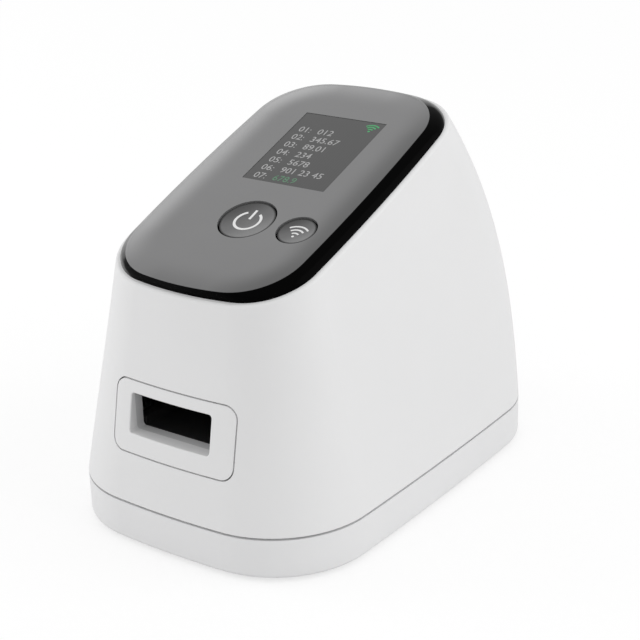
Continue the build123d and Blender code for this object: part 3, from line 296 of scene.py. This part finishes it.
def moulded(name, colour, roughness, grain=0.25, depth=0.006, strength=0.25, drift=0.02,
            specular=0.5, metallic=0.0, stretch=UNSTRETCHED):
    """Moulded or finished surface: fine grain, a slow drift of the colour and uneven gloss."""
    look = Look(name, stretch)
    cloud = look.spread(look.noise(38.0, 2.0), 0, 1)
    return look.surface({
        "Base Color": look.mixed(cloud, shaded(colour, 1 - drift), shaded(colour, 1 + drift)),
        "Roughness": look.spread(look.noise(9.0, 4.0), roughness * 0.93, roughness * 1.07),
        "Normal": look.bump(look.noise(grain), depth, strength),
        "Metallic": metallic,
        "Specular IOR Level": specular,
    })


def brushed(name, colour, roughness, stretch):
    """Metal with fine drawn lines."""
    return moulded(name, colour, roughness, grain=0.35, depth=0.01, strength=0.35, drift=0.05,
                   metallic=1.0, stretch=stretch)


def lens_edge(look):
    """How far a place is into the lens's border, as a vector (u, v) that points outwards."""
    from_middle = look.off_middle(0, LENS_MIDDLE)
    straight = ((LENS_HALF_WIDTH - LENS_CORNER) * mm, (LENS_HALF_LENGTH - LENS_CORNER) * mm, 0)
    over = look.vector("SUBTRACT", look.vector("ABSOLUTE", from_middle), straight)
    outer = look.vector("MAXIMUM", over, (0, 0, 0))
    share = look.in_range(look.vector("LENGTH", outer), ROLL_START * mm, ROLL_END * mm)
    side = look.vector("SIGN", from_middle)
    outwards = look.vector("MULTIPLY", look.vector("NORMALIZE", outer), side)
    return look.vector("MULTIPLY", outwards, share)


def lens_painted_shade(look, edge):
    """The lens's painted light and shade: lighter towards its left and rear border, darker towards
    the right.
    """
    light_side = look.vector("DOT_PRODUCT", edge, LENS_LIGHT_SIDE)
    return look.greys(look.in_range(light_side, -1.0, 1.0, curve="LINEAR"), LENS_SHADE_TONES)


def smoked_lens():
    """Grey glossy sheet whose border rolls off. Its grey carries painted light and shade, lighter
    to the left and rear.
    """
    look = Look("smoked_lens_look")
    edge = lens_edge(look)
    cloud = look.spread(look.noise(30.0, 2.0), 0.97, 1.03)
    return look.surface({
        # Painted light and shade: the lens's grey is lighter to the left and rear, darker to the
        # right
        "Base Color": look.vector("MULTIPLY", lens_painted_shade(look, edge), cloud),
        "Roughness": look.spread(look.noise(14.0, 4.0), 0.17, 0.21),
        "Normal": look.leaning_normal(edge, LENS_ROLL),
        "Specular IOR Level": 0.6,
    })


def glossy_bezel():
    """Black piano finish, glossier from a low view. Its top lip is tinted like the lens, with the
    lens's painted light and shade.
    """
    look = Look("black_bezel_look")
    off_panel = look.add("ShaderNodeSeparateXYZ", {"Vector": look.on_panel()}).outputs["Z"]
    lip = look.in_range(off_panel, LIP_START * mm, LIP_END * mm)
    black = look.mixed(look.noise(30.0, 2.0), BEZEL_BLACK, BEZEL_SOFT_BLACK)
    facing = look.nodes.new("ShaderNodeLayerWeight").outputs["Facing"]
    gloss = look.in_range(facing, LOW_VIEW_START, LOW_VIEW_END, SQUARE_GLOSS, LOW_VIEW_GLOSS,
                          "LINEAR")
    return look.surface({
        # The lip takes the lens's grey, with its painted light and shade
        "Base Color": look.mixed(lip, black, lens_painted_shade(look, lens_edge(look))),
        "Roughness": look.spread(look.noise(12.0, 4.0), 0.10, 0.15),
        "Normal": look.orange_peel(),
        "Specular IOR Level": look.math("MAXIMUM", gloss, look.math("MULTIPLY", lip, LIP_GLOSS)),
    })


def dished_key(name, middle, radius):
    """Dark satin key, hollowed like a dish, with painted shade: darker towards its rear left, and a
    black border for the shade of the gap round it.
    """
    look = Look(name)
    part = look.vector("MULTIPLY", look.off_middle(*middle), (1 / (radius * mm),) * 3)
    towards_light = look.vector("DOT_PRODUCT", part, KEY_LIGHT_SIDE)
    # Painted shade of the dish: darker towards the rear left
    painted_dish_shade = look.greys(look.in_range(towards_light, -1.0, 1.0, curve="LINEAR"), KEY_SHADE_TONES)
    rim_shade_start, rim_shade_end = 1 - KEY_RIM_SHADE_START / radius, 1 - KEY_RIM_SHADE_END / radius
    rim_shade_share = look.in_range(look.vector("LENGTH", part), rim_shade_start, rim_shade_end)
    return look.surface({
        # Painted shade: the black border at the rim stands in for the shade of the gap round the
        # key
        "Base Color": look.mixed(rim_shade_share, painted_dish_shade, KEY_RIM_SHADE),
        "Roughness": look.spread(look.noise(7.0, 4.0), 0.30, 0.38),
        "Normal": look.leaning_normal(part, -KEY_DISH),
        "Specular IOR Level": 0.45,
    })


def glass_screen():
    """Switched-on display under a dark glass: a faint glow and the rows of its dots."""
    look = Look("screen_look")
    dots = look.bands("X", 0.32)
    return look.surface({
        "Base Color": look.mixed(dots, (0.043, 0.043, 0.043), (0.048, 0.048, 0.048)),
        "Roughness": look.spread(look.noise(10.0, 3.0), 0.10, 0.15),
        "Emission Color": WHITE,
        "Emission Strength": 0.012,
        "Specular IOR Level": 0.4,
    })


def board_look():
    """Green board: darker solder mask over pale copper lines."""
    look = Look("circuit_board_look")
    lines = look.add("ShaderNodeTexBrick", {
        "Vector": look.at, "Scale": 0.16 / mm, "Mortar Size": 0.07,
        "Color1": (0.010, 0.085, 0.030, 1), "Color2": (0.012, 0.075, 0.028, 1),
        "Mortar": (0.03, 0.17, 0.06, 1),
    })
    return look.surface({
        "Base Color": lines.outputs["Color"],
        "Roughness": look.spread(look.noise(5.0), 0.32, 0.42),
        "Normal": look.bump(lines.outputs["Fac"], 0.03, 0.4),
    })


def ribbed(name, first, second, pitch, direction, roughness):
    """Stripes of two tones with a shallow ridge at each, as on flat cable or a wrapped pack."""
    look = Look(name)
    stripes = look.bands(direction, 0.314 / pitch)
    return look.surface({
        "Base Color": look.mixed(stripes, first, second),
        "Roughness": look.spread(look.noise(4.0), roughness * 0.9, roughness * 1.1),
        "Normal": look.bump(stripes, 0.04, 0.4),
    })


def clear_glass():
    """Glass of a small lens or filter, with a faint cold tint."""
    look = Look("optic_glass_look")
    return look.surface({
        "Base Color": (0.75, 0.86, 0.95, 1),
        "Roughness": look.spread(look.noise(6.0), 0.02, 0.06),
        "Transmission Weight": 0.85,
        "IOR": 1.5,
    })


def printed(name, colour, glow):
    """Thin ink or a lit mark, with a slightly uneven tone. Both glow; the ink's glow is painted
    light.
    """
    look = Look(name)
    tone = look.mixed(look.noise(0.5), shaded(colour, 0.94), colour)
    return look.surface({
        "Base Color": tone, "Roughness": 0.5, "Emission Color": tone, "Emission Strength": glow,
    })


LOOKS = {
    "white_shell": moulded("white_shell_look", (0.80, 0.80, 0.803), 0.38, grain=0.22, depth=0.005,
                           strength=0.22, drift=0.008),
    "white_base": moulded("white_base_look", (0.80, 0.80, 0.805), 0.42, grain=0.22, depth=0.006,
                          strength=0.25, drift=0.008),
    "grey_guide": moulded("grey_guide_look", (0.58, 0.58, 0.585), 0.5, grain=0.3, depth=0.008),
    "black_bezel": glossy_bezel(),
    "smoked_lens": smoked_lens(),
    "screen": glass_screen(),
    "foot_rubber": moulded("foot_rubber_look", (0.03, 0.03, 0.03), 0.85, grain=0.4, depth=0.03,
                           strength=0.5, drift=0.1, specular=0.25),
    "adhesive": moulded("adhesive_look", (0.02, 0.02, 0.02), 0.7, grain=0.5, depth=0.02),
    "display_frame": brushed("display_frame_look", (0.42, 0.42, 0.43), 0.4, (1, 12, 12)),
    "circuit_board": board_look(),
    "black_part": moulded("black_part_look", (0.018, 0.018, 0.019), 0.45, grain=0.3, depth=0.01,
                          drift=0.08),
    "frame_plastic": moulded("frame_plastic_look", (0.06, 0.062, 0.066), 0.55, grain=0.35,
                             depth=0.015, drift=0.06),
    "carriage_plastic": moulded("carriage_plastic_look", (0.012, 0.012, 0.012), 0.5, grain=0.3,
                                depth=0.012, drift=0.1),
    "gear_plastic": moulded("gear_plastic_look", (0.72, 0.70, 0.62), 0.4, grain=0.3, depth=0.01),
    "steel": brushed("steel_look", (0.56, 0.56, 0.57), 0.32, (12, 1, 12)),
    "brass": brushed("brass_look", (0.72, 0.55, 0.25), 0.3, (8, 8, 1)),
    "optic_glass": clear_glass(),
    "battery_wrap": ribbed("battery_wrap_look", (0.05, 0.12, 0.30), (0.06, 0.14, 0.33), 20.0,
                           "Y", 0.35),
    "flat_cable": ribbed("flat_cable_look", (0.62, 0.40, 0.12), (0.80, 0.56, 0.22), 0.5, "X", 0.4),
}
KEY_LOOKS = {
    "power_button": dished_key("power_key_look", POWER_KEY, POWER_RADIUS),
    "wireless_button": dished_key("wireless_key_look", WIRELESS_KEY, WIRELESS_RADIUS),
}
# The white ink glows faintly: painted light, as the ink is no lamp
INK = printed("white_ink_look", (0.80, 0.80, 0.80), 0.06)
LIT = printed("lit_text_look", (0.34, 0.34, 0.34), 0.21)
LIT_GREEN = printed("lit_green_look", (0.04, 0.28, 0.10), 0.28)
DIM_GREEN = printed("dim_green_look", (0.08, 0.19, 0.11), 0.2)

for name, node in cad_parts.items():
    for holder in node.material_slots:
        slot = holder.material.name.split(".")[0]
        holder.material = KEY_LOOKS[name] if slot == "key_cap" else LOOKS[slot]


# Thin pieces on the panel: flat outlines laid on the surface under them

def surface_of(node):
    """A lookup of where a line square to the panel meets a CAD node."""
    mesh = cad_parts[node].data
    tree = BVHTree.FromPolygons([v.co for v in mesh.vertices], [p.vertices for p in mesh.polygons])

    def height(u, v):
        start = panel_point(u, v, RAY_START)
        hit = tree.ray_cast(start, -NORMAL)[0]
        return RAY_START - (start - hit).length / mm
    return height


def placed(name, mesh, look):
    """A new object made of a bmesh, which it uses up."""
    data = bpy.data.meshes.new(name)
    mesh.to_mesh(data)
    mesh.free()
    piece = bpy.data.objects.new(name, data)
    bpy.context.scene.collection.objects.link(piece)
    data.materials.append(look)
    return piece


def lay_on(name, faces, height, reach, body, look):
    """Makes faces, lists of (u, v) corners, one thin closed piece at the height there.

    It reaches as far over that height as under it.
    """
    mesh = bmesh.new()
    seen = {}

    def corner(u, v, lift):
        key = (round(u, 4), round(v, 4), lift)
        if key not in seen:
            seen[key] = mesh.verts.new(panel_point(u, v, height(u, v) + lift))
        return seen[key]
    for face in faces:
        mesh.faces.new([corner(u, v, reach) for u, v in face])
        mesh.faces.new([corner(u, v, -reach) for u, v in reversed(face)])
    partner = {vert: seen[(u, v, -lift)] for (u, v, lift), vert in seen.items()}
    for edge in [e for e in mesh.edges if len(e.link_faces) == 1]:
        first, second = edge.verts
        if (first.co - partner[first].co).dot(NORMAL) > 0:
            mesh.faces.new([first, partner[first], partner[second], second])
    bmesh.ops.recalc_face_normals(mesh, faces=mesh.faces)
    piece = placed(name, mesh, look)
    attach(piece, body)


def outline_of(node):
    """The outer outline of a flat CAD node's top face: its (u, v) points in order, in mm."""
    mesh = bmesh.new()
    mesh.from_mesh(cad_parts[node].data)
    bmesh.ops.remove_doubles(mesh, verts=mesh.verts, dist=SAME_PLACE * mm)
    top = {f for f in mesh.faces if f.normal.dot(NORMAL) > ON_TOP}
    after = {}
    for face in top:
        for loop in face.loops:
            if sum(f in top for f in loop.edge.link_faces) == 1:
                after[loop.vert] = loop.link_loop_next.vert
    chain = [max(after, key=lambda vert: tuple(vert.co))]
    while after[chain[-1]] != chain[0]:
        chain.append(after[chain[-1]])
    places = [vert.co / mm - PANEL_FRONT for vert in chain]
    mesh.free()
    return [Vector((place.x, place.dot(ALONG))) for place in places]


def border(outline, inner, outer):
    """A band along an outline that runs anticlockwise, from inner to outer mm outside it."""
    pairs = []
    for i, point in enumerate(outline):
        along = (outline[(i + 1) % len(outline)] - outline[i - 1]).normalized()
        outwards = Vector((along.y, -along.x))
        pairs.append((tuple(point + outwards * inner), tuple(point + outwards * outer)))
    return [[a, b, d, c] for (a, b), (c, d) in zip(pairs, pairs[1:] + pairs[:1])]


def arc(centre, inner, outer, start, end, steps):
    """A band between two radii. Angles are in degrees from the panel's rear, clockwise."""
    u, v = centre
    faces = []
    for i in range(steps):
        a, b = (radians(start + (end - start) * k / steps) for k in (i, i + 1))
        corners = ((inner, a), (outer, a), (outer, b), (inner, b))
        faces.append([(u + r * sin(t), v + r * cos(t)) for r, t in corners])
    return faces


def disc(centre, radius, steps=16):
    """A filled circle, as triangles round its centre."""
    u, v = centre
    turns = [2 * pi * k / steps for k in range(steps)]
    rim = [(u + radius * sin(t), v + radius * cos(t)) for t in turns]
    return [[centre, a, b] for a, b in zip(rim, rim[1:] + rim[:1])]


def bar(u, v, width, length):
    """A rectangle about its centre, cut across into short pieces so it follows a curved surface."""
    count = max(1, round(length))
    cuts = [v - length / 2 + length * k / count for k in range(count + 1)]
    return [[(u - width / 2, a), (u + width / 2, a), (u + width / 2, b), (u - width / 2, b)]
            for a, b in zip(cuts, cuts[1:])]


def power_mark(centre):
    """A ring that is open at the rear, with a bar in its gap."""
    u, v = centre
    ring = arc(centre, RING_INNER, RING_OUTER, RING_GAP, 360 - RING_GAP, steps=40)
    return ring + bar(u, v + POWER_BAR_OFFSET, POWER_BAR_WIDTH, POWER_BAR_LENGTH)


def wireless_mark(centre, size):
    """A dot with three arcs over it, size mm high."""
    u, v = centre
    foot = (u, v - size * MARK_FOOT)
    faces = disc(foot, MARK_STROKE * 0.75)
    for k in (1, 2, 3):
        radius = size * (ARC_START + ARC_PITCH * k)
        inner, outer = radius - MARK_STROKE / 2, radius + MARK_STROKE / 2
        faces += arc(foot, inner, outer, -ARC_SPREAD, ARC_SPREAD, steps=5 * k)
    return faces


def number(text, u, v):
    """Flat outlines of figures, as faces in the panel's frame. u, v is the lower left corner."""
    curve = bpy.data.curves.new("figures", "FONT")
    curve.body = text
    curve.size = FONT_SIZE
    curve.resolution_u = 3
    holder = bpy.data.objects.new("figures", curve)
    bpy.context.scene.collection.objects.link(holder)
    bpy.context.view_layer.update()
    flat = holder.to_mesh()
    faces = [[(u + flat.vertices[i].co.x, v + flat.vertices[i].co.y) for i in p.vertices]
             for p in flat.polygons]
    holder.to_mesh_clear()
    bpy.data.objects.remove(holder)
    bpy.data.curves.remove(curve)
    return faces


# A band that laps over the lip, so the lens reads as one sheet up to the bezel's edge. It carries
# the lens's painted light and shade.
lap = border(outline_of("panel_lens"), LAP_INNER, LAP_OUTER)
lay_on("lens_border", lap, lambda u, v: BEZEL_HEIGHT, LAP_REACH, "casing", LOOKS["smoked_lens"])

# The keys' symbols
lay_on("power_symbol", power_mark(POWER_KEY), surface_of("power_button"), INK_REACH,
       "power_key", INK)
lay_on("wireless_symbol", wireless_mark(WIRELESS_KEY, KEY_MARK_HEIGHT),
       surface_of("wireless_button"), INK_REACH, "wireless_key", INK)

# What the screen shows: seven rows of plain numbers, the last one green, and a green mark
glass = surface_of("screen_glass")
left = SCREEN_U - SCREEN_WIDTH / 2
rear = SCREEN_V + SCREEN_LENGTH / 2
rows = []
for row, text in enumerate(ROW_TEXT):
    v = rear - FIRST_ROW - row * ROW_PITCH
    rows += number(f"0{row + 1}:", left + LABEL_INSET, v)
    figures = number(text, left + FIGURE_INSET, v)
    if row + 1 < len(ROW_TEXT):
        rows += figures
green_mark = wireless_mark((left + SCREEN_WIDTH - GREEN_MARK_INSET, rear - GREEN_MARK_DROP),
                           GREEN_MARK_HEIGHT)
lay_on("screen_rows", rows, glass, LIT_REACH, "casing", LIT)
lay_on("screen_green_row", figures, glass, LIT_REACH, "casing", DIM_GREEN)
lay_on("screen_green_mark", green_mark, glass, LIT_REACH, "casing", LIT_GREEN)


# Floor, light and camera

def floor():
    """Pale paper that keeps the shadow and fades into the room's white with distance."""
    mat = bpy.data.materials.new("floor_look")
    tree = Tree(mat)
    tree.nodes.clear()
    far = tree.vector("LENGTH", tree.coordinates())
    white_share = tree.in_range(far, FADE_START, FADE_END, NEAR_SHARE, 1.0)
    strength = tree.in_range(far, FADE_START, FADE_END, NEAR_STRENGTH, 1.0)
    to_camera = tree.nodes.new("ShaderNodeLightPath").outputs["Is Camera Ray"]
    paper = tree.add("ShaderNodeBsdfDiffuse", {"Color": FLOOR_TONE})
    glow = tree.add("ShaderNodeEmission", {"Strength": strength})
    mix = tree.add("ShaderNodeMixShader", {
        "Fac": tree.math("MULTIPLY", to_camera, white_share),
        1: paper.outputs["BSDF"], 2: glow.outputs["Emission"],
    })
    tree.add("ShaderNodeOutputMaterial", {"Surface": mix.outputs["Shader"]})
    mesh = bmesh.new()
    bmesh.ops.create_circle(mesh, cap_ends=True, segments=96, radius=FLOOR_RADIUS)
    piece = placed("floor", mesh, mat)


def room():
    """White to the camera and in reflections, softer as a light."""
    world = bpy.data.worlds.new("room")
    bpy.context.scene.world = world
    tree = Tree(world)
    tree.nodes.clear()
    light = tree.add("ShaderNodeBackground", {"Color": WHITE, "Strength": ROOM_LIGHT})
    white = tree.add("ShaderNodeBackground", {"Color": WHITE, "Strength": 1.0})
    rays = tree.nodes.new("ShaderNodeLightPath").outputs
    mirror = tree.math("MAXIMUM", rays["Is Glossy Ray"], rays["Is Transmission Ray"])
    mix = tree.add("ShaderNodeMixShader", {
        "Fac": tree.math("MAXIMUM", rays["Is Camera Ray"], mirror),
        1: light.outputs["Background"], 2: white.outputs["Background"],
    })
    tree.add("ShaderNodeOutputWorld", {"Surface": mix.outputs["Shader"]})


def lamp(name, place, size, power):
    """A round soft lamp that points at the object. Its size is in metres, its power in watts."""
    light = bpy.data.lights.new(name, "AREA")
    light.shape = "DISK"
    light.size = size
    light.energy = power
    holder = bpy.data.objects.new(name, light)
    bpy.context.scene.collection.objects.link(holder)
    holder.location = place
    holder.rotation_mode = "QUATERNION"
    holder.rotation_quaternion = (Vector(LAMP_TARGET) - Vector(place)).to_track_quat("-Z", "Y")
    return holder


def camera():
    """Looks from the photograph's side, turned a little about its own axis."""
    flat = cos(CAMERA_ELEVATION)
    back = Vector((sin(CAMERA_AZIMUTH) * flat, -cos(CAMERA_AZIMUTH) * flat, sin(CAMERA_ELEVATION)))
    level = Vector((cos(CAMERA_AZIMUTH), sin(CAMERA_AZIMUTH), 0))
    upright = back.cross(level)
    right = level * cos(CAMERA_ROLL) + upright * sin(CAMERA_ROLL)
    up = upright * cos(CAMERA_ROLL) - level * sin(CAMERA_ROLL)
    data = bpy.data.cameras.new("camera")
    data.lens = CAMERA_LENS
    data.sensor_width = 36.0
    holder = bpy.data.objects.new("camera", data)
    bpy.context.scene.collection.objects.link(holder)
    turn = Matrix((right, up, back)).transposed().to_4x4()
    holder.matrix_world = Matrix.Translation(CAMERA_PLACE) @ turn
    bpy.context.scene.camera = holder


floor()
room()
lamp("right_lamp", place=(1.30, 0.45, 0.85), size=1.7, power=6.3)
lamp("left_lamp", place=(-1.2, -0.4, 0.25), size=0.9, power=4.8).visible_glossy = False
camera()
bpy.context.scene.view_settings.view_transform = "Standard"
